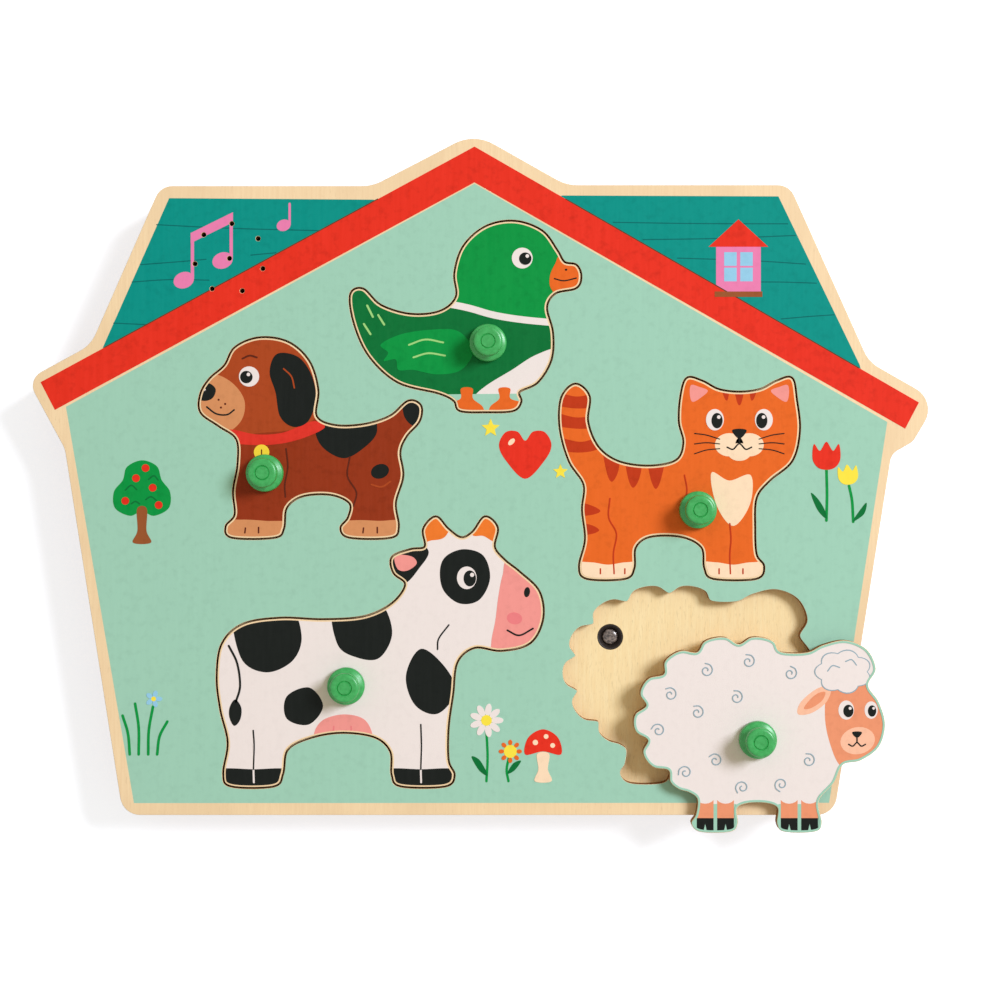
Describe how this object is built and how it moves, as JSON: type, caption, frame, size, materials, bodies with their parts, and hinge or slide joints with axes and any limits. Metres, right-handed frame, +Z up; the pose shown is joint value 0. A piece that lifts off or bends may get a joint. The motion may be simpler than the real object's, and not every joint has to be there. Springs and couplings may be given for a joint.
{
  "type": "sound puzzle",
  "caption": "Flat house-shaped wooden board whose lift-out animal pieces with knobs sit over light sensors that trigger a built-in loudspeaker.",
  "frame": {"origin": "on the outer back face that the board lies on, at the middle of the board", "axes": "+Z up out of the printed face, +Y towards the gable's peak, +X to the right of the picture"},
  "size_m": [0.3003, 0.2319, 0.0355],
  "materials": {
    "printed_plywood": "satin screen print on birch plywood",
    "birch_plywood": "sanded, unvarnished",
    "core_board": "raw routed board",
    "duck_print": "satin screen print on birch plywood",
    "dog_print": "satin screen print on birch plywood",
    "cat_print": "satin screen print on birch plywood",
    "cow_print": "satin screen print on birch plywood",
    "sheep_print": "satin screen print on birch plywood",
    "green_knob": "semi-gloss moulded plastic",
    "steel": "zinc plated",
    "black_plastic": "matt",
    "sensor_lens": "clear resin over the sensor",
    "circuit": "solder mask",
    "cone_paper": "pressed paper",
    "ferrite": "raw ferrite",
    "cell_jacket": "plain wrapped steel can",
    "box_plastic": "fine moulded texture",
    "black_wire": "smooth insulation",
    "red_wire": "smooth insulation"
  },
  "bodies": {
    "board": {"face_panel": "printed_plywood", "recess_floor": "birch_plywood", "core_board": "core_board", "back_panel": "birch_plywood", "sensor_sleeve_duck": "black_plastic", "sensor_sleeve_dog": "black_plastic", "sensor_sleeve_cat": "black_plastic", "sensor_sleeve_cow": "black_plastic", "sensor_sleeve_sheep": "black_plastic", "light_sensor_duck": "sensor_lens", "light_sensor_dog": "sensor_lens", "light_sensor_cat": "sensor_lens", "light_sensor_cow": "sensor_lens", "light_sensor_sheep": "sensor_lens", "sensor_lead_duck": "black_wire", "sensor_lead_dog": "black_wire", "sensor_lead_cat": "black_wire", "sensor_lead_cow": "black_wire", "sensor_lead_sheep": "black_wire", "speaker_frame": "steel", "speaker_cone": "cone_paper", "speaker_magnet": "ferrite", "speaker_lead": "black_wire", "circuit_board": "circuit", "sound_chip": "black_plastic", "battery_box": "box_plastic", "battery_1": "cell_jacket", "battery_2": "cell_jacket", "battery_spring_1": "steel", "battery_spring_2": "steel", "contact_plate_left": "steel", "contact_plate_right": "steel", "battery_lead": "red_wire", "switch_lead": "red_wire", "switch_body": "steel", "back_screw_1": "steel", "back_screw_2": "steel", "back_screw_3": "steel", "back_screw_4": "steel", "back_screw_5": "steel", "back_screw_6": "steel"},
    "duck": {"duck_piece": "duck_print", "duck_knob": "green_knob", "duck_knob_screw": "steel"},
    "dog": {"dog_piece": "dog_print", "dog_knob": "green_knob", "dog_knob_screw": "steel"},
    "cat": {"cat_piece": "cat_print", "cat_knob": "green_knob", "cat_knob_screw": "steel"},
    "cow": {"cow_piece": "cow_print", "cow_knob": "green_knob", "cow_knob_screw": "steel"},
    "sheep": {"sheep_piece": "sheep_print", "sheep_knob": "green_knob", "sheep_knob_screw": "steel"},
    "door": {"battery_door": "box_plastic", "battery_door_screw": "steel"},
    "slider": {"switch_slider": "black_plastic"}
  },
  "joints": [
    {"name": "duck_lift", "type": "slide", "parent": "board", "child": "duck", "axis": [0, 0, 1], "range_m": [0, 0.03]},
    {"name": "dog_lift", "type": "slide", "parent": "board", "child": "dog", "axis": [0, 0, 1], "range_m": [0, 0.03]},
    {"name": "cat_lift", "type": "slide", "parent": "board", "child": "cat", "axis": [0, 0, 1], "range_m": [0, 0.03]},
    {"name": "cow_lift", "type": "slide", "parent": "board", "child": "cow", "axis": [0, 0, 1], "range_m": [0, 0.03]},
    {"name": "sheep_return", "type": "slide", "parent": "board", "child": "sheep", "axis": [-0.57, 0.405, 0.7149], "range_m": [0, 0.04]},
    {"name": "battery_door_hinge", "type": "hinge", "parent": "board", "child": "door", "pos_m": [-0.0278, -0.084, 0.00215], "axis": [0, 1, 0], "range_deg": [0, 60]},
    {"name": "switch_slide", "type": "slide", "parent": "board", "child": "slider", "axis": [0, 1, 0], "range_m": [0, 0.003]}
  ]
}
